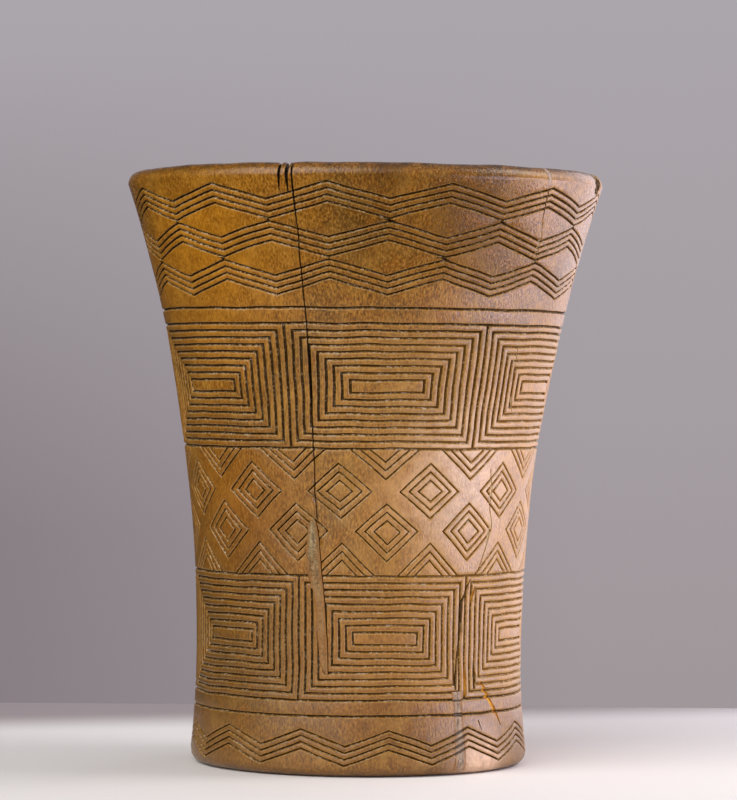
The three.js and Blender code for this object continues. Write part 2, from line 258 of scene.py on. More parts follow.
class Sheet:
    """The ornament laid flat over one sector: degrees from the sector's middle across, and heights up."""

    def __init__(self) -> None:
        """Starts an empty sheet whose faces say whether a carved line runs there."""
        self.mesh: BMesh = bmesh.new()
        self.line = self.mesh.faces.layers.int.new("line")
        for name in (DEPTH, HOLLOW, FRESH, CHALK):
            self.mesh.verts.layers.float.new(name)

    def grid(self, across: int, up: int) -> tuple[list[BMVert], list[BMFace]]:
        """Adds a grid of unit squares with its first corner at the origin.

        Args:
            across: Number of squares across.
            up: Number of squares up.

        Returns:
            The grid's points and faces.
        """
        verts = bmesh.ops.create_grid(self.mesh, x_segments=across, y_segments=up, size=0.5)["verts"]
        bmesh.ops.translate(self.mesh, verts=verts, vec=(0.5, 0.5, 0))
        bmesh.ops.scale(self.mesh, verts=verts, vec=(across, up, 1))
        return verts, list(dict.fromkeys(face for vert in verts for face in vert.link_faces))

    def inset(self, faces: list[BMFace], width: float, is_line: bool) -> list[BMFace]:
        """Insets each face and says whether the border round it is a carved line.

        Args:
            faces: Faces that shrink.
            width: Width of the border.
            is_line: Whether the border is a carved line.

        Returns:
            The border's faces.
        """
        border = bmesh.ops.inset_individual(
            self.mesh, faces=faces, thickness=width, use_even_offset=True)["faces"]
        for face in border:
            face[self.line] = is_line
        return border

    def nest(self, faces: list[BMFace], start: float, pitch: float, width: float, count: int) -> list[BMFace]:
        """Nests carved lines inside each face.

        Args:
            faces: Faces that hold the lines.
            start: From a face's edge to the middle of its first line.
            pitch: From the middle of one line to the next.
            width: Width of a line.
            count: Number of lines.

        Returns:
            All border faces, from the outside in.
        """
        borders = self.inset(faces, start - width / 2, False)
        for number in range(count):
            borders += self.inset(faces, width, True)
            if number < count - 1:
                borders += self.inset(faces, pitch - width, False)
        return borders

    def slice(self, x: float, y: float, normal: tuple[float, float, float], near: float, clear: bool) -> None:
        """Cuts the whole sheet along a straight line.

        Args:
            x: A point on the line, across the sheet.
            y: The same point, up the sheet.
            normal: Direction square to the line.
            near: Points this near to the line count as on it.
            clear: Whether what lies on the side that the normal points to is taken off.
        """
        everything = self.mesh.verts[:] + self.mesh.edges[:] + self.mesh.faces[:]
        bmesh.ops.bisect_plane(
            self.mesh, geom=everything, dist=near, plane_co=(x, y, 0), plane_no=normal, clear_outer=clear)

    def wrap(self, outline: Outline, ornament: "Ornament") -> None:
        """Repeats the sheet all the way round, wraps it on the outline and closes its seams."""
        sector = self.mesh.verts[:] + self.mesh.edges[:] + self.mesh.faces[:]
        for turn in range(1, SECTORS):
            copy = bmesh.ops.duplicate(self.mesh, geom=sector)["geom"]
            moved = [part for part in copy if isinstance(part, BMVert)]
            bmesh.ops.translate(self.mesh, verts=moved, vec=(turn * SECTOR * FLAT_DEGREE, 0, 0))
        for vert in self.mesh.verts:
            azimuth = vert.co.x / FLAT_DEGREE + ornament.turn(vert.co.y)
            vert.co = around(azimuth, outline.outer(vert.co.y), vert.co.y)
        bmesh.ops.remove_doubles(self.mesh, verts=self.mesh.verts, dist=WELD)


@dataclass(frozen=True)
class Row:
    """An edge that runs round the wall: its mean height, its zigzag's reach, and a line above it or not."""

    height: float
    reach: float = 0.0
    line_above: bool = False


@dataclass(frozen=True)
class LinedBand:
    """A band of lines that run round the beaker, level or in zigzags."""

    rows: tuple[Row, ...]
    peak: float = 0.0
    period: float = 30.0

    def lay(self, sheet: Sheet) -> None:
        """Lays the band on the sheet as a grid whose rows swing up and down."""
        verts, faces = sheet.grid(COLUMNS, len(self.rows) - 1)
        for face in faces:
            face[sheet.line] = self.rows[int(face.calc_center_median().y)].line_above
        for vert in verts:
            row = self.rows[round(vert.co.y)]
            degrees = vert.co.x * COLUMN - SECTOR / 2
            vert.co = (degrees * FLAT_DEGREE, self.height(row, degrees), 0)

    def height(self, row: Row, degrees: float) -> float:
        """Gives the height of a row at some degrees from the sector's middle."""
        return row.height + row.reach * zigzag(degrees - self.peak, self.period)

    def sunk(self, degrees: float, z: float) -> float:
        """Says how far a point lies in a line, from 0 outside it to 1 at its middle.

        Args:
            degrees: Degrees from the sector's middle.
            z: The point's height.

        Returns:
            The share of the line's depth.
        """
        share = 0.0
        for row, above in zip(self.rows, self.rows[1:]):
            if row.line_above:
                low, high = self.height(row, degrees), self.height(above, degrees)
                share = max(share, 1 - abs(2 * (z - low) / (high - low) - 1))
        return share


@dataclass(frozen=True)
class PanelBand:
    """A band of oblong panels, one in each sector, filled with nested rectangles."""

    foot: float
    top: float
    line_width: float
    rectangles: int = 8
    pitch: float = 2.06
    rungs: int = 8
    least_upright: float = 9.0

    def lay(self, sheet: Sheet) -> None:
        """Lays one panel on the sheet and divides its long edges so that they can bend round the beaker."""
        verts, faces = sheet.grid(1, 1)
        bmesh.ops.translate(sheet.mesh, verts=verts, vec=(-0.5, 0, 0))
        bmesh.ops.scale(sheet.mesh, verts=verts, vec=(SECTOR * FLAT_DEGREE, self.top - self.foot, 1))
        bmesh.ops.translate(sheet.mesh, verts=verts, vec=(0, self.foot, 0))
        borders = sheet.inset(faces, self.line_width / 2, True)
        borders += sheet.nest(
            faces, self.pitch - self.line_width / 2, self.pitch, self.line_width, self.rectangles)
        edges = dict.fromkeys(edge for face in borders for edge in face.edges)
        spans = {edge: edge.verts[1].co - edge.verts[0].co for edge in edges}
        level = [edge for edge, span in spans.items() if abs(span.y) < WELD]
        upright = [edge for edge, span in spans.items()
                   if abs(span.x) < WELD and span.length > self.least_upright]
        bmesh.ops.subdivide_edges(sheet.mesh, edges=upright, cuts=self.rungs - 1, use_grid_fill=True)
        bmesh.ops.subdivide_edges(sheet.mesh, edges=level, cuts=COLUMNS - 1, use_grid_fill=True)


@dataclass(frozen=True)
class DiamondBand:
    """A band of nested diamonds in two staggered rows, with half diamonds along both borders."""

    foot: float
    top: float
    border_width: float
    lower_row: float = 72.6
    upper_row: float = 84.1
    step: float = 15.0
    corridor: float = 2.7
    pitch: float = 1.82
    line_width: float = 1.08
    diamonds: int = 3
    snap: float = 0.35

    def lay(self, sheet: Sheet) -> None:
        """Lays the band on an empty sheet: a lattice of cells with nested lines, cut off at the borders."""
        low = self.foot + self.border_width / 2
        high = self.top - self.border_width / 2
        below, above = 2 * low - self.lower_row, 2 * high - self.upper_row
        heights = [below, low, self.lower_row, self.upper_row, high, above]
        reach = round(SECTOR / 2 / self.step) + 1
        verts, _ = sheet.grid(2 * reach, len(heights) - 1)
        corners = [vert for vert in verts if round(vert.co.x + vert.co.y + reach) % 2]
        middles = [vert for vert in verts if vert not in corners and not vert.is_boundary]
        for vert in verts:
            degrees = (vert.co.x - reach) * self.step
            vert.co = (degrees * FLAT_DEGREE, heights[round(vert.co.y)], 0)
        bmesh.ops.connect_verts(sheet.mesh, verts=corners)
        bmesh.ops.dissolve_verts(sheet.mesh, verts=middles)
        sheet.nest(sheet.mesh.faces[:], self.corridor, self.pitch, self.line_width, self.diamonds)
        side = SECTOR / 2 * FLAT_DEGREE
        borders = ((side, 0, (1, 0, 0)), (-side, 0, (-1, 0, 0)), (0, high, (0, 1, 0)), (0, low, (0, -1, 0)))
        for x, y, normal in borders:
            sheet.slice(x, y, normal, WELD, True)
        for column in range(1, COLUMNS):
            sheet.slice((column * COLUMN - SECTOR / 2) * FLAT_DEGREE, 0, (1, 0, 0), self.snap, False)
        self.border(sheet, high, self.top)
        self.border(sheet, low, self.foot)

    def border(self, sheet: Sheet, start: float, end: float) -> None:
        """Adds the half of a border line that belongs to this band, with a point at each column only.

        Args:
            sheet: Sheet that holds the band.
            start: Height at which the band's field ends.
            end: Height of the border line's middle.
        """
        edges = [
            edge for edge in sheet.mesh.edges
            if all(abs(vert.co.y - start) < WELD for vert in edge.verts)
        ]
        strip = bmesh.ops.extrude_edge_only(sheet.mesh, edges=edges)["geom"]
        spare = []
        for part in strip:
            if isinstance(part, BMFace):
                part[sheet.line] = True
            if isinstance(part, BMVert):
                column = round(part.co.x / FLAT_DEGREE / COLUMN) * COLUMN * FLAT_DEGREE
                rungs = [edge for edge in part.link_edges if edge.other_vert(part) not in strip]
                if abs(part.co.x - column) > 2 * self.snap:
                    spare += rungs
                else:
                    part.co.x = column
                part.co.y = end
        bmesh.ops.dissolve_edges(sheet.mesh, edges=spare, use_verts=True)


@dataclass(frozen=True)
class Ornament:
    """Heights and sizes of the carved bands, from the ground up, as the solid has them."""

    foot_start: float = 2.4
    foot_ring: float = 17.9
    ring_pair: float = 4.55
    panel: float = 36.6
    diamond: float = 37.7
    rim_end: float = 174.9
    line_width: float = 1.35
    zigzag_width: float = 1.25
    zigzag_lines: int = 4
    rim_zigzags: tuple[float, float, float, int, float] = (171.7, 2.35, 1.85, 3, 11.05)
    rim_peak: float = 12.5
    foot_zigzags: tuple[float, float, float] = (11.4, 2.45, 1.87)
    diamond_row: float = 13.5
    middle: float = 8.7
    drift: tuple[float, ...] = (1.6, 0.3, 0.3, -1.0, -1.5, -0.3)

    def turn(self, z: float) -> float:
        """Gives the azimuth of the first sector's middle, which the carver let drift from band to band."""
        heights = (self.foot_ring, self.lower_panel, self.diamond_field + self.diamond_row, self.upper_panel,
                   self.upper_panel + self.panel, self.rim_ring)
        return self.middle + float(np.interp(z, heights, self.drift))

    @property
    def lower_panel(self) -> float:
        """Gives the height of the lower panels' foot."""
        return self.foot_ring + self.ring_pair

    @property
    def diamond_field(self) -> float:
        """Gives the height of the diamond band's foot."""
        return self.lower_panel + self.panel

    @property
    def upper_panel(self) -> float:
        """Gives the height of the upper panels' foot."""
        return self.diamond_field + self.diamond

    @property
    def rim_ring(self) -> float:
        """Gives the height of the ring under the rim's zigzags."""
        return self.upper_panel + self.panel + self.ring_pair

    def ring_below(self, z: float) -> list[Row]:
        """Gives the rows of the half ring that a band starts with."""
        return [Row(z, line_above=True), Row(z + self.line_width / 2)]

    def ring_above(self, z: float) -> list[Row]:
        """Gives the rows of the half ring that a band ends with."""
        return [Row(z - self.line_width / 2, line_above=True), Row(z)]

    def zigzags(
        self, first: float, reach: float, pitch: float, groups: int = 1, drop: float = 0.0,
    ) -> list[Row]:
        """Gives the rows of groups of zigzag lines, each group against the one above it.

        Args:
            first: Mean height of the topmost line.
            reach: How far a line swings to each side of its mean height.
            pitch: From one line to the next.
            groups: Number of groups.
            drop: From one group to the next.

        Returns:
            The rows from the lowest to the highest.
        """
        rows = []
        for group in reversed(range(groups)):
            swing = -reach if group % 2 else reach
            for line in reversed(range(self.zigzag_lines)):
                mean = first - group * drop - line * pitch
                rows.append(Row(mean - self.zigzag_width / 2, swing, True))
                rows.append(Row(mean + self.zigzag_width / 2, swing))
        return rows

    def bands(self) -> list[DiamondBand | PanelBand | LinedBand]:
        """Gives all bands, with the diamonds first because they need an empty sheet."""
        upper_end = self.upper_panel + self.panel
        rim = self.ring_below(self.rim_ring) + self.zigzags(*self.rim_zigzags) + [Row(self.rim_end)]
        return [
            DiamondBand(self.diamond_field, self.upper_panel, self.line_width),
            PanelBand(self.lower_panel, self.diamond_field, self.line_width),
            PanelBand(self.upper_panel, upper_end, self.line_width),
            LinedBand(tuple(rim), peak=self.rim_peak),
            *self.foot_bands(),
            LinedBand(tuple(self.ring_below(upper_end) + self.ring_above(self.rim_ring))),
        ]

    def foot_bands(self) -> list[LinedBand]:
        """Gives the foot's zigzags and the plain band between the rings above them."""
        foot = [Row(self.foot_start)] + self.zigzags(*self.foot_zigzags) + self.ring_above(self.foot_ring)
        plain = self.ring_below(self.foot_ring) + self.ring_above(self.lower_panel)
        return [LinedBand(tuple(foot)), LinedBand(tuple(plain))]


class CrackKind(Enum):
    """What shows in a crack, as the layers that it sets on its floor."""

    OPEN = ()
    FRESH_WOOD = (FRESH,)
    CHALKED = (CHALK,)


@dataclass(frozen=True)
class Station:
    """A place along a crack: its azimuth, its height and how wide it gapes there."""

    azimuth: float
    z: float
    width: float


def along(*places: tuple[float, float, float]) -> tuple[Station, ...]:
    """Gives the stations of a crack from the azimuth, height and width at each."""
    return tuple(Station(*place) for place in places)


@dataclass(frozen=True)
class Crack:
    """A crack or a seat cut for putty, from its foot upwards."""

    stations: tuple[Station, ...]
    kind: CrackKind = CrackKind.OPEN
    reach: float = 0.85
    through_above: float = 1000.0
    search: float = 9.0
    skin: float = 2.5

    def open(self, mesh: BMesh, outline: Outline) -> None:
        """Opens the crack in the wall: its strip is cut out and pushed towards the heart of the wall.

        Args:
            mesh: The beaker's mesh.
            outline: The beaker's section.
        """
        depth = mesh.verts.layers.float[DEPTH]
        marks = [mesh.verts.layers.float[name] for name in self.kind.value]
        strip = []
        for foot, top in zip(self.stations, self.stations[1:]):
            strip += self.strip(mesh, outline, foot, top)
        strip = [face for face in dict.fromkeys(strip) if face.is_valid]
        pushed = bmesh.ops.extrude_face_region(mesh, geom=strip)["geom"]
        for vert in pushed:
            if isinstance(vert, BMVert):
                heart = outline.heart(vert.co)
                vert[depth] += (heart - vert.co).length * self.reach
                for mark in marks:
                    vert[mark] = 1
                vert.co = vert.co.lerp(heart, self.reach)
        bmesh.ops.delete(mesh, geom=[face for face in strip if face.is_valid], context="FACES")

    def strip(self, mesh: BMesh, outline: Outline, foot: Station, top: Station) -> list[BMFace]:
        """Cuts the wall along both edges of one stretch of the crack.

        Args:
            mesh: The beaker's mesh.
            outline: The beaker's section.
            foot: Lower end of the stretch.
            top: Upper end of the stretch.

        Returns:
            The faces between the two edges.
        """
        low = around(foot.azimuth, outline.outer(foot.z), foot.z)
        high = around(top.azimuth, outline.outer(min(top.z, outline.lip_height)), top.z)
        inward = -Vector((low.x + high.x, low.y + high.y, 0)).normalized()
        across = (high - low).cross(inward).normalized()
        faces = [face for face in mesh.faces if self.near(face.calc_center_median(), low, high, outline)]
        planes = [(low, Vector((0, 0, -1))), (high, Vector((0, 0, 1)))]
        for side in (-1, 1):
            start = low + across * side * foot.width / 2
            end = high + across * side * top.width / 2
            planes.append((start, (end - start).cross(inward).normalized() * side))
        for point, normal in planes:
            faces = self.cut(mesh, faces, point, normal)
            faces = [face for face in faces if (face.calc_center_median() - point).dot(normal) < 0]
        return faces

    def near(self, point: Vector, low: Vector, high: Vector, outline: Outline) -> bool:
        """Says whether a face's middle is close enough to a stretch of the crack to be cut by it."""
        if not low.z - self.search < point.z < high.z + self.search:
            return False
        share = min(max((point.z - low.z) / (high.z - low.z), 0), 1)
        turn = azimuth_of(point) - azimuth_of(low.lerp(high, share))
        radius = math.hypot(point.x, point.y)
        if abs(math.radians(turn)) * radius > self.search:
            return False
        return radius > outline.outer(point.z) - self.skin or point.z > self.through_above

    @staticmethod
    def cut(mesh: BMesh, faces: list[BMFace], point: Vector, normal: Vector) -> list[BMFace]:
        """Cuts faces by a plane.

        Args:
            mesh: Mesh that holds the faces.
            faces: Faces to cut.
            point: A point on the plane.
            normal: Direction square to the plane.

        Returns:
            The faces after the cut.
        """
        edges = dict.fromkeys(edge for face in faces for edge in face.edges)
        verts = dict.fromkeys(vert for face in faces for vert in face.verts)
        made = bmesh.ops.bisect_plane(
            mesh, geom=[*verts, *edges, *faces], dist=WELD, plane_co=point, plane_no=normal)["geom"]
        return [part for part in made if isinstance(part, BMFace)]


@dataclass(frozen=True)
class Chip:
    """A place where the wood has broken away: where it is, how wide and how deep."""

    azimuth: float
    z: float
    spread: float
    depth: float
    margin: float = 1.6
    raggedness: float = 0.6
    crumb: float = 2.0
    cuts: int = 2

    def knock(self, mesh: BMesh, outline: Outline) -> None:
        """Divides the wall round the chip more finely and presses its points in."""
        depth = mesh.verts.layers.float[DEPTH]
        middle = around(self.azimuth, outline.outer(self.z), self.z)
        edges = [edge for edge in mesh.edges
                 if all((vert.co - middle).length < self.margin * self.spread for vert in edge.verts)]
        bmesh.ops.subdivide_edges(mesh, edges=edges, cuts=self.cuts, use_grid_fill=True)
        for vert in mesh.verts:
            gap = (vert.co - middle).length / self.spread
            if gap < 1:
                bite = self.depth * (1 - gap ** 2) * (1 + self.raggedness * noise.noise(vert.co / self.crumb))
                vert[depth] += bite
                vert.co += (outline.heart(vert.co) - vert.co).normalized() * bite


def hex_colour(code: str) -> tuple[float, float, float, float]:
    """Turns an sRGB hex colour into the linear colour that a socket takes."""
    parts = [int(code[start:start + 2], 16) / 255 for start in (1, 3, 5)]
    linear = [part / 12.92 if part <= 0.04045 else ((part + 0.055) / 1.055) ** 2.4 for part in parts]
    return (*linear, 1.0)


def add(tree: NodeTree, kind: str, inputs: dict[str | int, Any] | None = None, out: str | int = 0,
        **settings: Any) -> NodeSocket:
    """Adds a node with its settings and links.

    Args:
        tree: Tree that gets the node.
        kind: The node's type without its ShaderNode prefix.
        inputs: A socket to link, a hex colour or a plain value for each input.
        out: Name or number of the output that is wanted.
        settings: Attributes of the node.

    Returns:
        The output.
    """
    node = tree.nodes.new(f"ShaderNode{kind}")
    for name, value in settings.items():
        setattr(node, name, value)
    for key, value in (inputs or {}).items():
        if isinstance(value, NodeSocket):
            tree.links.new(value, node.inputs[key])
        else:
            node.inputs[key].default_value = hex_colour(value) if isinstance(value, str) else value
    return node.outputs[out]


def new_material(name: str) -> tuple[Material, NodeTree, Node]:
    """Starts a material, and gives it with its tree and its shader."""
    material = bpy.data.materials.new(name)
    material.use_nodes = True
    return material, material.node_tree, material.node_tree.nodes["Principled BSDF"]


def per(size: float) -> float:
    """Gives the texture scale whose features are about this many millimetres wide."""
    return 1 / (size * MM)


@dataclass(frozen=True)
class StainOrPaintedLight:
    """A soft patch of another colour in the wood, either a stain or painted light and shade: where it is, how
    far it spreads and how strong it is.
    """

    azimuth: float
    z: float
    spread: float
    colour: str
    strength: float


@dataclass(frozen=True)
class CarvedWood:
    """Dense tropical hardwood, cut with gouges and burnished by hands."""

    outline: Outline
    stains_and_painted_light: tuple[StainOrPaintedLight, ...] = ()
    golden: str = "#98651a"
    umber: str = "#5f4014"
    russet: str = "#875216"
    streak: str = "#452d0e"
    # rubbed also paints highlight on the cuts' shoulders
    rubbed: str = "#b08238"
    # handled also paints light on the belly's right
    handled: str = "#c3954f"
    # soot also paints shade under the cuts' upper edges
    soot: str = "#3d290e"
    dust_and_highlight: str = "#b9a88f"
    inside: str = "#553718"
    bruise: str = "#2e1c0b"
    fresh: str = "#e0a845"
    chalk: str = "#d3bd92"

    def make(self) -> Material:
        """Makes the material.

        The eye gets a golden brown with cloudy stain and upright grain, paler edges where hands have rubbed
        and painted highlight, soot in the cuts with painted shade under their upper edges, dust and painted
        highlight on their lower ones, some patches of painted light and shade, and a satin gloss on what
        stands proud.

        Returns:
            The material.
        """
        material, tree, shader = new_material("burnished_hardwood")
        node = partial(add, tree)
        place = node("TexCoord", out="Object")
        sideways, _, height = node("SeparateXYZ", {0: place}).node.outputs
        facing = node("SeparateXYZ", {0: node("NewGeometry", out="Normal")}, "Z")
        depth, hollow, fresh, chalk = (
            node("Attribute", out="Fac", attribute_name=name) for name in (DEPTH, HOLLOW, FRESH, CHALK))

        # Patterns: stretched upright or not, width of a feature in millimetres, detail and roughness
        fibres, dashes, chops = (
            node("Mapping", {"Vector": place, "Scale": (1, 1, length)}) for length in (0.06, 0.45, 0.35))
        grain, cloud, mottle, handled, crumb, pores, gouges = (
            node("TexNoise", {"Vector": vector, "Scale": per(size), "Detail": detail, "Roughness": roughness})
            for vector, size, detail, roughness in (
                (fibres, 1.1, 5.0, 0.65),
                (place, 19, 4.0, 0.5),
                (place, 4.5, 6.0, 0.7),
                (place, 9, 5.0, 0.6),
                (place, 0.9, 3.0, 0.7),
                (dashes, 0.5, 3.0, 0.5),
                (chops, 7, 1.0, 0.5),
            ))

        # Belly, paler at the right: partly wear from the hands that held it and partly painted light from the
        # right side
        belly_wear_and_light = node("MapRange", {0: height, 1: 20 * MM, 2: 26 * MM})
        for share in (
            node("MapRange", {0: height, 1: 136 * MM, 2: 128 * MM}),
            node("MapRange", {0: sideways, 1: -35 * MM, 2: 25 * MM}),
        ):
            belly_wear_and_light = node("Math", {0: belly_wear_and_light, 1: share}, operation="MULTIPLY")

        # Cuts
        ragged = node("MapRange", {0: crumb, 1: 0.32, 2: 0.68, 3: 0.32, 4: 1.7})
        ragged = node("Math", {0: depth, 1: ragged}, operation="MULTIPLY")
        groove = node("MapRange", {0: ragged, 1: 0.17, 2: 0.36}, interpolation_type="SMOOTHSTEP")
        # Shoulders of the cuts paler: rubbed wear, with a painted highlight that grows on the belly's right
        edge = node("MapRange", {0: depth, 1: 0.0, 2: 0.14})
        shoulder_wear_and_highlight = node("MapRange", {0: belly_wear_and_light, 3: 0.45, 4: 0.85})
        edge = node("Math", {0: edge, 1: shoulder_wear_and_highlight}, operation="MULTIPLY")
        # Soot deep in the cuts, with painted shade that makes it heavier on downward-facing walls and thinner
        # on the belly's right
        soot_and_shade = node("MapRange", {0: ragged, 1: 0.19, 2: 0.44}, interpolation_type="SMOOTHSTEP")
        for share in (
            node("MapRange", {0: facing, 1: 0.8, 2: 0.2, 3: 0.55, 4: 1.0}),
            node("MapRange", {0: belly_wear_and_light, 3: 1.2, 4: 0.72}),
        ):
            soot_and_shade = node("Math", {0: soot_and_shade, 1: share}, operation="MULTIPLY", use_clamp=True)
        # Dust on upward-facing walls of the cuts: partly dust and partly a painted highlight where light
        # catches them, stronger on the belly's right
        dust_and_highlight_mask = node("MapRange", {0: depth, 1: 0.06, 2: 0.24})
        for share in (
            node("MapRange", {0: facing, 1: -0.3, 2: 0.5}),
            node("MapRange", {0: mottle, 1: 0.4, 2: 0.6, 3: 0.25, 4: 1.0}),
            node("MapRange", {0: crumb, 1: 0.5, 2: 0.4, 4: 0.9}),
            node("MapRange", {0: belly_wear_and_light, 3: 1.0, 4: 1.6}),
        ):
            dust_and_highlight_mask = node("Math", {0: dust_and_highlight_mask, 1: share}, operation="MULTIPLY")

        # Worn lip, and darker wood along the foot's lowest edge that fades out towards the right
        crest = node("MapRange", {0: height, 1: 177.5 * MM, 2: 179.5 * MM, 4: 0.85})
        low_edge_darkening = node("MapRange", {0: height, 1: 0.5 * MM, 2: 4 * MM, 3: 0.5, 4: 0.0})
        less_towards_right = node("MapRange", {0: sideways, 1: 5 * MM, 2: 40 * MM, 3: 1.0, 4: 0.2})
        low_edge_darkening = node("Math", {0: low_edge_darkening, 1: less_towards_right}, operation="MULTIPLY")
        lip_wear_and_low_edge = node("Math", {0: crest, 1: low_edge_darkening}, operation="MAXIMUM")
        darkened_lip_and_low_edge = node("MapRange", {0: mottle, 1: 0.42, 2: 0.6, 3: 0.25})
        darkened_lip_and_low_edge = node("Math", {0: darkened_lip_and_low_edge, 1: lip_wear_and_low_edge}, operation="MULTIPLY")

        # Hollow, steeped in drink and left with gouge marks
        bare = node("MapRange", {0: mottle, 1: 0.35, 2: 0.65, 3: 0.55, 4: 0.95})
        steeped = node("MapRange", {0: height, 1: 150 * MM, 2: 90 * MM, 4: 0.6})
        bare, steeped, gouges = (
            node("Math", {0: hollow, 1: value}, operation="MULTIPLY") for value in (bare, steeped, gouges))
        gouges = node("Math", {0: gouges, 1: 5.0}, operation="MULTIPLY")

        # Shades from the ground up: a value, where it starts and ends, the share at both, and the shade
        # Painted light on the belly's right, mixed with the hands' wear: the handled colour over the belly
        # mask
        uneven = node("MapRange", {0: mottle, 1: 0.35, 2: 0.65, 3: 0.45, 4: 1.4})
        pale = node("Math", {0: belly_wear_and_light, 1: uneven}, operation="MULTIPLY")
        shades = [
            (node("MapRange", {0: value, 1: start, 2: end, 3: first, 4: last}), shade)
            for value, start, end, first, last, shade in (
                (cloud, 0.4, 0.68, 0.0, 0.95, self.umber),
                (mottle, 0.36, 0.56, 0.75, 0.0, self.russet),
                (grain, 0.5, 0.8, 0.0, 0.65, self.streak),
                (pores, 0.3, 0.5, 0.9, 0.0, self.streak),
                (pores, 0.51, 0.7, 0.0, 0.8, self.rubbed),
                # darker towards the bottom: browner wood and painted shade where less light reaches
                (height, 70 * MM, 10 * MM, 0.0, 0.42, self.umber),
                (handled, 0.52, 0.7, 0.0, 0.4, self.rubbed),
                (pale, 0.0, 1.0, 0.0, 0.26, self.handled),
            )
        ]
        # Patches, each a stain or painted light and shade
        for stain in self.stains_and_painted_light:
            middle = around(stain.azimuth, self.outline.outer(stain.z), stain.z) * MM
            gap = node("VectorMath", {0: place, 1: middle}, "Value", operation="DISTANCE")
            patch = node("MapRange", {0: gap, 2: stain.spread * MM, 3: stain.strength, 4: 0.0},
                         interpolation_type="SMOOTHSTEP")
            shades.append((node("Math", {0: patch, 1: uneven}, operation="MULTIPLY"), stain.colour))
        shades += [
            (darkened_lip_and_low_edge, self.bruise),
            (bare, self.inside),
            (steeped, self.bruise),
            (edge, self.rubbed),
            (soot_and_shade, self.soot),
            (dust_and_highlight_mask, self.dust_and_highlight),
            (fresh, self.fresh),
            (chalk, self.chalk),
        ]
        colour = hex_colour(self.golden)
        for factor, shade in shades:
            mix = {FACTOR: factor, FIRST: colour, SECOND: shade}
            colour = node("Mix", mix, MIXED, data_type="RGBA")

        # Gloss, duller under the lip and in the cuts
        gloss = node("MapRange", {0: mottle, 1: 0.3, 2: 0.7, 3: 0.29, 4: 0.46})
        polish = node("MapRange", {0: height, 1: 140 * MM, 2: 165 * MM, 3: 1.0, 4: 0.72})
        gloss = node("Math", {0: gloss, 1: polish}, operation="MULTIPLY")
        gloss = node("Mix", {0: groove, 2: gloss, 3: 0.85})
        shine = node("MapRange", {0: groove, 3: 0.5, 4: 0.12})
        dull = node("MapRange", {0: height, 1: 138 * MM, 2: 150 * MM, 3: 1.0, 4: 0.38})
        licked = node("MapRange", {0: height, 1: 175 * MM, 2: 179 * MM, 4: 0.7})
        turned = node("MapRange", {0: sideways, 1: 46 * MM, 2: 58 * MM, 4: 0.6})
        licked = node("Math", {0: licked, 1: turned}, operation="MAXIMUM")
        dull = node("Math", {0: dull, 1: licked}, operation="ADD", use_clamp=True)
        shine = node("Math", {0: shine, 1: dull}, operation="MULTIPLY")
        relief = pores
        for height_of in (crumb, grain, gouges):
            relief = node("Math", {0: relief, 1: height_of}, operation="ADD")
        bump = node("Bump", {"Strength": 0.55, "Distance": 0.18 * MM, "Height": relief})
        for socket, name in (
            (colour, "Base Color"), (gloss, "Roughness"), (shine, "Specular IOR Level"), (bump, "Normal"),
        ):
            tree.links.new(socket, shader.inputs[name])
        return material


@dataclass(frozen=True)
class Putty:
    """Old filler of chalk and glue, smeared in with a blade and left matt."""

    name: str
    body: str
    stain: str
    rubbed_below: float = 0.0
    chalk: str = "#b9a27c"
    soot: str = "#3a2814"
    wood: str = "#8a5a20"
    roughness: float = 0.75

    def make(self) -> Material:
        """Makes the material: a dull, gritty body, rubbed thin at its edges, with soot in its lines."""
        material, tree, shader = new_material(self.name)
        node = partial(add, tree)
        shader.inputs["Roughness"].default_value = self.roughness
        place = node("TexCoord", out="Object")
        smeared, drawn = (
            node("Mapping", {"Vector": place, "Scale": (1, 1, length)}) for length in (0.25, 0.07))
        smear = node("TexNoise", {"Vector": smeared, "Scale": per(2), "Detail": 6.0, "Roughness": 0.7})
        grit = node("TexNoise", {"Vector": place, "Scale": per(0.7), "Detail": 3.0})
        streaks = node("TexNoise", {"Vector": drawn, "Scale": per(0.8), "Detail": 4.0})
        depth, side = (node("Attribute", out="Fac", attribute_name=name) for name in (DEPTH, SIDE))
        side = node("Math", {0: side, 1: grit}, operation="ADD")
        height = node("SeparateXYZ", {0: place}, "Z")
        low = self.rubbed_below * MM
        colour = hex_colour(self.body)
        for value, start, end, first, last, shade in (
            (smear, 0.42, 0.58, 0.0, 1.0, self.stain),
            (grit, 0.52, 0.68, 0.0, 0.55, self.chalk),
            (streaks, 0.52, 0.66, 0.0, 0.6, self.soot),
            (height, low + 5 * MM, low - 5 * MM, 0.0, 0.6, self.wood),
            (grit, 0.3, 0.46, 0.6, 0.0, self.soot),
            (side, 1.0, 1.45, 0.0, 0.85, self.wood),
            (depth, 0.05, 0.4, 0.0, 0.85, self.soot),
        ):
            factor = node("MapRange", {0: value, 1: start, 2: end, 3: first, 4: last})
            mix = {FACTOR: factor, FIRST: colour, SECOND: shade}
            colour = node("Mix", mix, MIXED, data_type="RGBA")
        relief = node("Math", {0: smear, 1: grit}, operation="ADD")
        bump = node("Bump", {"Strength": 0.5, "Distance": 0.25 * MM, "Height": relief})
        tree.links.new(colour, shader.inputs["Base Color"])
        tree.links.new(bump, shader.inputs["Normal"])
        return material


def placed(mesh: BMesh, name: str, material: Material) -> Object:
    """Turns a mesh into an object of the scene, and frees it."""
    data = bpy.data.meshes.new(name)
    mesh.to_mesh(data)
    mesh.free()
    data.materials.append(material)
    piece = bpy.data.objects.new(name, data)
    bpy.context.collection.objects.link(piece)
    return piece


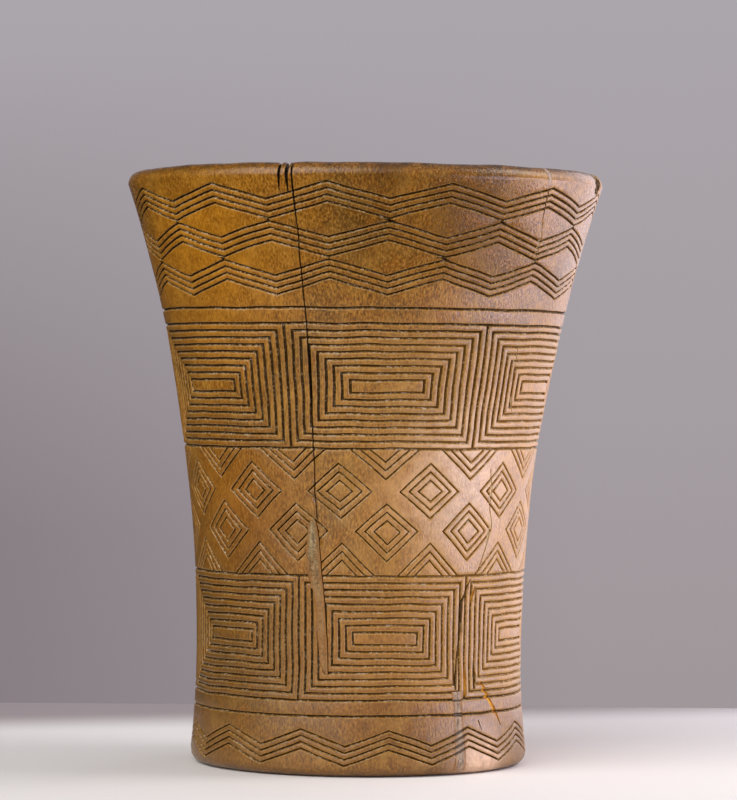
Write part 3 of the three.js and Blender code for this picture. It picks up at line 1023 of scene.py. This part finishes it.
def shown(mesh: BMesh, name: str, material: Material) -> Object:
    """Turns a finished mesh in millimetres into an object in metres.

    Args:
        mesh: The mesh, which is freed.
        name: The object's name.
        material: Its finish.

    Returns:
        The object, linked to the scene.
    """
    bmesh.ops.triangulate(mesh, faces=[face for face in mesh.faces if len(face.verts) > 4])
    bmesh.ops.recalc_face_normals(mesh, faces=mesh.faces)
    bmesh.ops.scale(mesh, verts=mesh.verts, vec=(MM, MM, MM))
    for face in mesh.faces:
        face.smooth = True
    for edge in mesh.edges:
        edge.smooth = not edge.is_manifold or edge.calc_face_angle() < SHARP_ANGLE
    piece = placed(mesh, name, material)
    shading = piece.modifiers.new("even_shading", "WEIGHTED_NORMAL")
    shading.keep_sharp = True
    return piece


@dataclass
class Beaker:
    """The beaker itself: a carved wall, a rounded lip, a plain hollow and a flat foot."""

    outline: Outline
    ornament: Ornament
    hand: Hand
    cracks: tuple[Crack, ...]
    chips: tuple[Chip, ...]
    finish: CarvedWood
    shoulder: tuple[float, float] = (0.28, 0.2)
    side: tuple[float, float] = (0.2, 0.6)
    deepest_line: float = 1.3
    hollow_skin: float = 1.0

    def build(self) -> Object:
        """Builds the beaker and dresses it."""
        sheet = Sheet()
        for band in self.ornament.bands():
            band.lay(sheet)
        sheet.wrap(self.outline, self.ornament)
        self.carve(sheet)
        mesh = sheet.mesh
        self.close(mesh)
        for chip in self.chips:
            chip.knock(mesh, self.outline)
        for crack in self.cracks:
            crack.open(mesh, self.outline)
        self.wear(mesh)
        piece = shown(mesh, "carved_beaker", self.finish.make())
        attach(piece, "root")
        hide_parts("beaker_body")
        return piece

    def carve(self, sheet: Sheet) -> None:
        """Sinks the lines into the wall, a rubbed shoulder and then a steep side, and notes their depth."""
        mesh = sheet.mesh
        for width, fall in (self.shoulder, self.side):
            lines = [face for face in mesh.faces if face[sheet.line]]
            sides = bmesh.ops.inset_region(
                mesh, faces=lines, thickness=width, depth=-fall, use_even_offset=True)["faces"]
            for face in sides:
                face[sheet.line] = False
        depth = mesh.verts.layers.float[DEPTH]
        for vert in mesh.verts:
            vert[depth] = max(self.outline.outer(vert.co.z) - math.hypot(vert.co.x, vert.co.y), 0)

    def close(self, mesh: BMesh) -> None:
        """Carries the wall over the lip into the hollow, and under the foot."""
        hollow = mesh.verts.layers.float[HOLLOW]
        depth = mesh.verts.layers.float[DEPTH]
        rings = [edge for edge in mesh.edges if edge.is_boundary]
        middle = self.outline.height / 2
        top = [edge for edge in rings if edge.verts[0].co.z > middle]
        foot = [edge for edge in rings if edge.verts[0].co.z < middle]
        self.carry(mesh, top, self.outline.lip_and_hollow(self.ornament.rim_end))
        self.carry(mesh, foot, self.outline.under_foot(self.ornament.foot_start))
        for vert in mesh.verts:
            radius = math.hypot(vert.co.x, vert.co.y)
            inner = self.outline.inner(min(vert.co.z, self.outline.lip_height))
            if vert.co.z > self.outline.floor_thickness / 2 and radius < inner + self.hollow_skin:
                vert[hollow] = 1
                vert[depth] = 0

    @staticmethod
    def carry(mesh: BMesh, ring: list[BMEdge], section: list[tuple[float, float]]) -> None:
        """Carries an open edge on along a section, ring by ring, and closes it with a flat disc.

        Args:
            mesh: Mesh that holds the edge.
            ring: The open edge.
            section: Radius and height of each further ring.
        """
        for radius, z in section:
            made = bmesh.ops.extrude_edge_only(mesh, edges=ring)["geom"]
            verts = {part for part in made if isinstance(part, BMVert)}
            for vert in verts:
                vert.co = around(azimuth_of(vert.co), radius, z)
            ring = [part for part in made if isinstance(part, BMEdge) and set(part.verts) <= verts]
        bmesh.ops.contextual_create(mesh, geom=ring)

    def wear(self, mesh: BMesh) -> None:
        """Makes the lines' depth uneven and lets every edge wander a little."""
        depth = mesh.verts.layers.float[DEPTH]
        for vert in mesh.verts:
            if 0 < vert[depth] < self.deepest_line:
                vert.co += outward(vert.co) * (vert[depth] - self.hand.depth(vert.co, vert[depth]))
            vert.co = self.hand.move(vert.co)


@dataclass
class PuttyFill:
    """Putty that closes a seat in the wall, and carries on the lines that it was smeared across."""

    name: str
    node: str
    slot: str
    seat: Crack
    finish: Putty
    outline: Outline
    ornament: Ornament
    hand: Hand
    bands: tuple[LinedBand, ...] = ()
    gaps: tuple[float, float] = (0.04, 0.04)
    line_depth: float = 0.7
    thickness: float = 2.0
    columns: int = 12
    step: float = 0.3
    roughness: float = 0.12
    grit: float = 1.7

    def build(self) -> Object:
        """Builds the fill and dresses it."""
        mesh = bmesh.new()
        depth = mesh.verts.layers.float.new(DEPTH)
        side = mesh.verts.layers.float.new(SIDE)
        section = self.section()
        rows = len(section) - 1
        verts = bmesh.ops.create_grid(mesh, x_segments=self.columns, y_segments=rows, size=0.5)["verts"]
        azimuths, heights, widths = zip(*(astuple(station) for station in self.seat.stations))
        left, right = self.gaps
        for vert in verts:
            radius, z = section[round((vert.co.y + 0.5) * rows)]
            vert[side] = abs(2 * vert.co.x)
            width = float(np.interp(z, heights, widths))
            across = vert.co.x * (width - left - right) + (left - right) / 2
            azimuth = float(np.interp(z, heights, azimuths)) + math.degrees(across / radius)
            degrees = azimuth - self.ornament.turn(z)
            vert[depth] = self.line_depth * max((band.sunk(degrees, z) for band in self.bands), default=0.0)
            vert.co = around(azimuth, radius - vert[depth], z)
        for vert in verts:
            rough = self.roughness * noise.noise(vert.co / self.grit)
            vert.co = self.hand.move(vert.co) + outward(vert.co) * rough
        mesh.normal_update()
        bmesh.ops.solidify(mesh, geom=mesh.faces[:], thickness=self.thickness)
        piece = shown(mesh, self.name, self.finish.make())
        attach(piece, "root")
        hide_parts(self.node)
        return piece

    def section(self) -> list[tuple[float, float]]:
        """Works out the radius and height of each row of the fill, over the lip if the seat goes so far."""
        low = self.seat.stations[0].z + self.gaps[0]
        high = min(self.seat.stations[-1].z - self.gaps[0], self.outline.lip_height)
        rows = [(self.outline.outer(z), z) for z in np.linspace(low, high, round((high - low) / self.step))]
        if self.seat.stations[-1].z > self.outline.height:
            rows += [row for row in self.outline.lip_and_hollow(high) if row[1] > self.seat.through_above]
        return rows


@dataclass(frozen=True)
class Lamp:
    """A soft lamp: where it stands, what it faces, how large and how bright it is."""

    name: str
    place: tuple[float, float, float]
    target: tuple[float, float, float]
    size: tuple[float, float]
    power: float
    colour: str

    def light(self) -> None:
        """Adds the lamp and points it at its target."""
        data = bpy.data.lights.new(self.name, "AREA")
        data.shape = "RECTANGLE"
        data.size, data.size_y = self.size
        data.energy = self.power
        data.color = hex_colour(self.colour)[:3]
        lamp = bpy.data.objects.new(self.name, data)
        lamp.location = self.place
        lamp.rotation_euler = (Vector(self.target) - lamp.location).to_track_quat("-Z", "Y").to_euler()
        lamp.visible_camera = False
        bpy.context.collection.objects.link(lamp)


@dataclass(frozen=True)
class Studio:
    """The table, the grey beyond it, the lamps and the camera."""

    focal_length: float = 168.48
    distance: float = 1.1516
    eye_height: float = 0.1155
    pitch: float = 0.229
    roll: float = 0.442
    yaw: float = 0.116
    table: str = "#efeded"
    table_left: float = -0.2
    table_right: float = 0.24
    table_near: float = -0.28
    table_far: float = 0.2
    table_drop: float = 0.2 * MM
    table_roughness: float = 0.7
    fade_way_with_left_shadow: tuple[float, float, float] = (-0.3, 1, 0)
    fade_from: float = 0.115
    fade_to: float = 0.19
    haze: str = "#a0979a"
    sky: str = "#aba6ac"
    shade: str = "#776d75"
    pit: str = "#1d1b1d"
    fill: float = 0.35
    lamps: tuple[Lamp, ...] = (
        Lamp("low_right_softbox", (0.606, -0.129, 0.03), (0, 0, 0.03), (0.63, 0.2), 3.8, "#f2eaff"),
        Lamp("side_softbox", (0.475, 0.4, 0.15), (0, 0, 0.1), (0.6, 0.7), 2.9, "#f4ecfa"),
        Lamp("right_lamp", (0.65, 0, 0.62), (0, 0, 0.05), (0.35, 0.35), 2.8, "#fffaf5"),
        Lamp("front_softbox", (-0.69, -0.88, 0.72), (0, 0, 0.09), (1.5, 1.2), 22.0, "#fffcf8"),
    )

    def build(self) -> None:
        """Sets up the camera, the lamps, the table and the world."""
        scene = bpy.context.scene
        scene.view_settings.view_transform = "Standard"
        data = bpy.data.cameras.new("camera")
        data.lens = self.focal_length
        camera = bpy.data.objects.new("camera", data)
        bpy.context.collection.objects.link(camera)
        camera.matrix_world = (
            Matrix.Translation((0, -self.distance, self.eye_height))
            @ Matrix.Rotation(math.radians(-self.yaw), 4, "Z")
            @ Matrix.Rotation(math.radians(90 - self.pitch), 4, "X")
            @ Matrix.Rotation(math.radians(self.roll), 4, "Z"))
        scene.camera = camera
        for lamp in self.lamps:
            lamp.light()
        self.lay_table()
        self.hang_backdrop()

    def hang_backdrop(self) -> None:
        """Makes the grey all round: light above, darker to the left, and dark far below the table."""
        world = bpy.data.worlds.new("studio")
        bpy.context.scene.world = world
        world.use_nodes = True
        tree = world.node_tree
        node = partial(add, tree)
        back = tree.nodes["Background"]
        across, _, up = node("SeparateXYZ", {0: node("TexCoord", out="Generated")}).node.outputs
        low = node("MapRange", {0: up, 1: 0.09, 2: -0.04})
        left = node("MapRange", {0: across, 1: 0.06, 2: -0.1, 4: 0.65})
        colour = hex_colour(self.haze)
        # Painted light and shade on the grey: paler above, painted shade to the lower left, and dark far to
        # the left and far below
        for factor, tint in (
            (node("MapRange", {0: up, 1: -0.08, 2: 0.1}), self.sky),
            (node("Math", {0: low, 1: left}, operation="MULTIPLY"), self.shade),
            (node("MapRange", {0: across, 1: -0.12, 2: -0.4, 4: 0.95}), self.pit),
            (node("MapRange", {0: up, 1: -0.1, 2: -0.4}), self.pit),
        ):
            mix = {FACTOR: factor, FIRST: colour, SECOND: tint}
            colour = node("Mix", mix, MIXED, data_type="RGBA")
        ray = node("LightPath").node.outputs
        seen = ray["Is Camera Ray"]
        for kind in ("Is Glossy Ray", "Is Transmission Ray"):
            seen = node("Math", {0: seen, 1: ray[kind]}, operation="MAXIMUM")
        strength = node("MapRange", {0: seen, 3: self.fill, 4: 1.0})
        tree.links.new(colour, back.inputs["Color"])
        tree.links.new(strength, back.inputs["Strength"])

    def lay_table(self) -> None:
        """Lays the table: a pale board that fades into the grey at its far edge, sooner at the left, where
        that paints the beaker's shadow.
        """
        mesh = bmesh.new()
        verts = bmesh.ops.create_grid(mesh, x_segments=1, y_segments=1, size=0.5)["verts"]
        near = Vector((self.table_left, self.table_near, -self.table_drop))
        far = Vector((self.table_right, self.table_far, -self.table_drop))
        bmesh.ops.scale(mesh, verts=verts, vec=(far.x - near.x, far.y - near.y, 1))
        bmesh.ops.translate(mesh, verts=verts, vec=(near + far) / 2)
        material, tree, shader = new_material("painted_board")
        node = partial(add, tree)
        shader.inputs["Roughness"].default_value = self.table_roughness
        place = node("TexCoord", out="Object")
        # The fade leans to start sooner at the left: a painted shadow of the beaker there
        behind = node("VectorMath", {0: place, 1: self.fade_way_with_left_shadow}, "Value", operation="DOT_PRODUCT")
        span = {0: behind, 1: self.fade_from, 2: self.fade_to}
        fade = node("MapRange", span, interpolation_type="SMOOTHSTEP")
        mix = {FACTOR: fade, FIRST: self.table, SECOND: self.haze}
        tree.links.new(node("Mix", mix, MIXED, data_type="RGBA"), shader.inputs["Base Color"])
        table = placed(mesh, "table", material)


# Patches of darker, paler and more golden wood: some are stains, and some are painted light and shade, as
# marked
STAINS_AND_PAINTED_LIGHT = (
    # painted light: a brighter golden patch on the flare's upper left
    StainOrPaintedLight(-46.0, 152.0, 48.0, "#c58016", 0.42),
    # painted shade: a darker patch on the front of the rim
    StainOrPaintedLight(2.0, 166.0, 30.0, "#553409", 0.25),
    StainOrPaintedLight(10.0, 80.0, 22.0, "#c08c50", 0.35),
    # painted highlight: a pale sheen on the belly's right
    StainOrPaintedLight(36.0, 90.0, 34.0, "#d8b898", 0.5),
    # painted shade: darker wood towards the left edge
    StainOrPaintedLight(-74.0, 43.0, 66.0, "#46310e", 0.58),
    StainOrPaintedLight(6.0, 177.0, 10.0, "#3a2008", 0.55),
    # painted shade: a dark patch on the rim's right that keeps the sheen off
    StainOrPaintedLight(29.0, 165.0, 27.0, "#573609", 0.75),
    StainOrPaintedLight(-42.0, 78.0, 36.0, "#8a520c", 0.5),
    # painted highlight: a pale patch on the foot's lower edge at the right
    StainOrPaintedLight(46.0, 1.0, 17.0, "#e2bd9c", 0.75),
    StainOrPaintedLight(5.0, 38.0, 46.0, "#7d4114", 0.22),
)

# Seats of the putty
FRONT_SEAT = Crack(
    along((-10.8, 30.2, 1.0), (-11.9, 33.6, 2.7), (-12.3, 39.1, 2.9), (-13.05, 44.7, 3.0),
          (-13.25, 50.3, 2.8), (-14.05, 55.7, 3.5), (-15.1, 60.1, 4.5), (-15.6, 65.0, 4.7),
          (-15.35, 70.5, 3.8), (-15.6, 74.2, 2.9), (-15.4, 75.6, 1.5)), reach=0.62)
RIM_SEAT = Crack(
    along((48.9, 174.2, 0.4), (48.7, 176.6, 1.6), (48.2, 180.5, 2.0)), reach=0.8, through_above=174.2)
FOOT_SEAT = Crack(
    along((36.3, 1.2, 4.2), (36.4, 7.4, 4.1), (36.5, 14.5, 3.3), (36.1, 20.0, 3.5), (35.7, 24.7, 4.0)),
    reach=0.6)

# Cracks
CRACKS = (
    FRONT_SEAT,
    RIM_SEAT,
    FOOT_SEAT,
    Crack(along((-14.0, 75.6, 0.3), (-14.7, 84.0, 0.42), (-14.6, 91.0, 0.38), (-15.1, 97.0, 0.42),
                (-15.0, 105.0, 0.5), (-15.5, 112.0, 0.6), (-15.5, 119.0, 0.75), (-15.9, 126.0, 0.5),
                (-16.2, 138.0, 0.42), (-16.8, 152.0, 0.45), (-16.7, 161.0, 0.4), (-17.2, 170.0, 0.6),
                (-17.2, 180.5, 0.6)), through_above=150.0),
    Crack(along((-18.4, 171.2, 0.3), (-18.5, 175.5, 1.0), (-18.3, 180.5, 1.5)), through_above=171.2),
    Crack(along((-20.5, 172.0, 0.3), (-20.3, 176.0, 0.9), (-20.2, 180.5, 1.0)), through_above=172.0),
    Crack(along((51.4, 151.5, 0.2), (50.8, 154.4, 0.5), (50.9, 159.7, 0.6), (49.7, 164.0, 0.4)),
          CrackKind.CHALKED, 0.08),
    Crack(along((49.6, 164.4, 0.3), (49.4, 168.0, 0.6), (49.1, 173.9, 0.4)), reach=0.3),
    Crack(along((35.0, 25.2, 0.7), (35.1, 28.2, 0.8), (35.5, 34.1, 0.7), (36.5, 40.0, 0.8), (37.0, 45.9, 1.3),
                (37.2, 51.0, 1.1), (39.0, 54.8, 0.6), (40.6, 58.0, 0.3))),
    Crack(along((39.6, 23.2, 0.8), (39.2, 28.0, 1.2), (38.8, 33.4, 0.7), (38.6, 38.0, 0.3)),
          CrackKind.FRESH_WOOD, 0.22),
    Crack(along((41.5, 50.9, 0.4), (42.3, 53.5, 0.8), (43.1, 55.9, 0.5)), CrackKind.FRESH_WOOD, 0.2),
    Crack(along((43.6, 25.2, 0.9), (43.7, 29.0, 1.5), (43.5, 32.6, 0.6)), reach=0.5),
    Crack(along((57.8, 13.6, 0.3), (56.1, 16.0, 0.8), (54.4, 18.6, 1.3), (52.2, 20.7, 1.4), (49.5, 23.8, 1.4),
                (46.9, 27.4, 0.7)), CrackKind.FRESH_WOOD, 0.16),
    Crack(along((46.9, 12.8, 0.2), (45.4, 15.9, 0.5)), reach=0.15),
    Crack(along((44.0, 60.5, 0.4), (46.6, 66.0, 0.6), (49.5, 74.0, 0.9), (48.0, 79.0, 0.5), (48.4, 85.0, 0.7),
                (46.7, 91.0, 0.4)), CrackKind.CHALKED, 0.08),
    Crack(along((53.0, 108.0, 0.3), (51.4, 114.0, 0.6), (51.0, 119.0, 0.8), (50.4, 128.0, 0.3)),
          CrackKind.CHALKED, 0.08),
)
CHIPS = (Chip(77.0, 178.2, 5.0, 2.2),)


def main() -> None:
    """Builds the studio, the beaker and its putty."""
    logging.basicConfig(level=logging.INFO)
    noise.seed_set(HAND_SEED)
    low, high = CAD_BOX
    outline = Outline((high.z - low.z) / MM, (high.x - low.x) / 2 / MM)
    hand = Hand()
    Studio().build()
    ornament = Ornament()
    pale = Putty("pale_chalk_putty", "#bba99d", "#a58e7e")
    grey = Putty("grey_chalk_putty", "#a08c78", "#8d735c")
    dark = Putty("brown_chalk_putty", "#8a7650", "#735223", 58.0)
    shared = (outline, ornament, hand)
    pieces = [
        Beaker(outline, ornament, hand, CRACKS, CHIPS, CarvedWood(outline, STAINS_AND_PAINTED_LIGHT)),
        PuttyFill(
            "front_putty", "front_crack_fill", "dark_putty", FRONT_SEAT, dark, *shared, gaps=(0.02, 0.3),
        ),
        PuttyFill("rim_putty", "rim_split_fill", "pale_putty", RIM_SEAT, pale, *shared),
        PuttyFill("foot_putty", "foot_crack_fill", "pale_putty", FOOT_SEAT, grey, *shared,
                  tuple(ornament.foot_bands())),
    ]
    for piece in pieces:
        made = piece.build()
        LOG.info("%s: %d faces", made.name, len(made.data.polygons))


if __name__ == "__main__":
    main()
